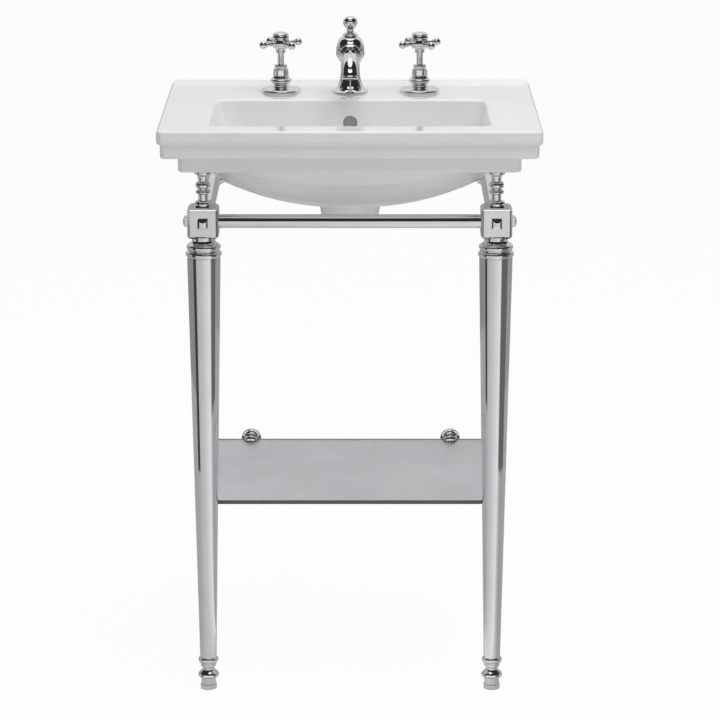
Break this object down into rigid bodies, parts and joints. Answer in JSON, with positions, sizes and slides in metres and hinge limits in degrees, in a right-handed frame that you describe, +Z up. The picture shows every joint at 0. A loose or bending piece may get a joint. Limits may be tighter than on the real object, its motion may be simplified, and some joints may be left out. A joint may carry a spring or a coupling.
{
  "type": "console washstand basin",
  "caption": "Rectangular china basin on two turned metal legs with towel rails, glass shelf, three-hole tap set and pop-up waste, for fixing to a wall.",
  "frame": {"origin": "on the floor, midway between the basin's sides and midway between its front edge and the wall", "axes": "+X to the right of someone facing the basin, +Y from its front towards the wall, +Z up"},
  "size_m": [0.55, 0.43, 0.965],
  "materials": {
    "china": "glazed",
    "polished_metal": "polished",
    "bare_brass": "machined",
    "seal_rubber": "moulded",
    "frosted_glass": "satin"
  },
  "bodies": {
    "washstand": {"basin": "china", "hot_rose": "polished_metal", "hot_shroud": "polished_metal", "hot_valve_body": "bare_brass", "hot_cartridge": "bare_brass", "cold_rose": "polished_metal", "cold_shroud": "polished_metal", "cold_valve_body": "bare_brass", "cold_cartridge": "bare_brass", "tap_washers": "seal_rubber", "tap_nuts": "bare_brass", "cross_pipes": "polished_metal", "pipe_nuts": "bare_brass", "spout_body": "polished_metal", "spout_arm": "polished_metal", "spout_collar": "polished_metal", "spout_tee": "bare_brass", "rod_guide": "bare_brass", "aerator": "polished_metal", "waste_flange": "polished_metal", "waste_body": "bare_brass", "flange_seal": "seal_rubber", "waste_washer": "seal_rubber", "waste_nut": "bare_brass", "ball_nut": "bare_brass", "leg_left": "polished_metal", "leg_right": "polished_metal", "leg_collars": "polished_metal", "corner_blocks": "polished_metal", "block_caps": "polished_metal", "basin_posts": "polished_metal", "seat_pads": "seal_rubber", "ankles": "polished_metal", "front_rail": "polished_metal", "side_rails": "polished_metal", "wall_flanges": "polished_metal", "glass_shelf": "frosted_glass", "shelf_brackets": "polished_metal", "bracket_screws": "polished_metal", "shelf_rests": "polished_metal", "rest_pads": "seal_rubber"},
    "hot_handle": {"hot_handle": "polished_metal", "hot_handle_screw": "polished_metal", "hot_handle_cap": "polished_metal", "hot_spindle": "polished_metal"},
    "cold_handle": {"cold_handle": "polished_metal", "cold_handle_screw": "polished_metal", "cold_handle_cap": "polished_metal", "cold_spindle": "polished_metal"},
    "lift": {"lift_knob": "polished_metal", "lift_rod": "polished_metal", "lift_strap": "polished_metal", "strap_screw": "bare_brass"},
    "lever": {"pivot_rod": "polished_metal"},
    "plug": {"waste_plug": "polished_metal", "plug_seal": "seal_rubber"},
    "left_foot": {"foot_left": "polished_metal"},
    "right_foot": {"foot_right": "polished_metal"}
  },
  "joints": [
    {"name": "hot_turn", "type": "hinge", "parent": "washstand", "child": "hot_handle", "pos_m": [-0.105, 0.128, 0.924], "axis": [0, 0, 1], "range_deg": [0, 90]},
    {"name": "cold_turn", "type": "hinge", "parent": "washstand", "child": "cold_handle", "pos_m": [0.105, 0.128, 0.924], "axis": [0, 0, 1], "range_deg": [-90, 0]},
    {"name": "knob_lift", "type": "slide", "parent": "washstand", "child": "lift", "axis": [0, 0, 1], "range_m": [0, 0.03]},
    {"name": "lever_rock", "type": "hinge", "parent": "washstand", "child": "lever", "pos_m": [0, -0.0285, 0.7], "axis": [1, 0, 0], "range_deg": [0, 11.02]},
    {"name": "plug_drop", "type": "slide", "parent": "washstand", "child": "plug", "axis": [0, 0, 1], "range_m": [-0.00501, 0]},
    {"name": "left_foot_level", "type": "slide", "parent": "washstand", "child": "left_foot", "axis": [0, 0, 1], "range_m": [-0.004, 0.006]},
    {"name": "right_foot_level", "type": "slide", "parent": "washstand", "child": "right_foot", "axis": [0, 0, 1], "range_m": [-0.004, 0.006]}
  ],
  "couplings": [
    {"joint": "lever_rock", "follows": "knob_lift", "rad_per_m": 6.4},
    {"joint": "plug_drop", "follows": "knob_lift", "ratio": -0.16667}
  ]
}
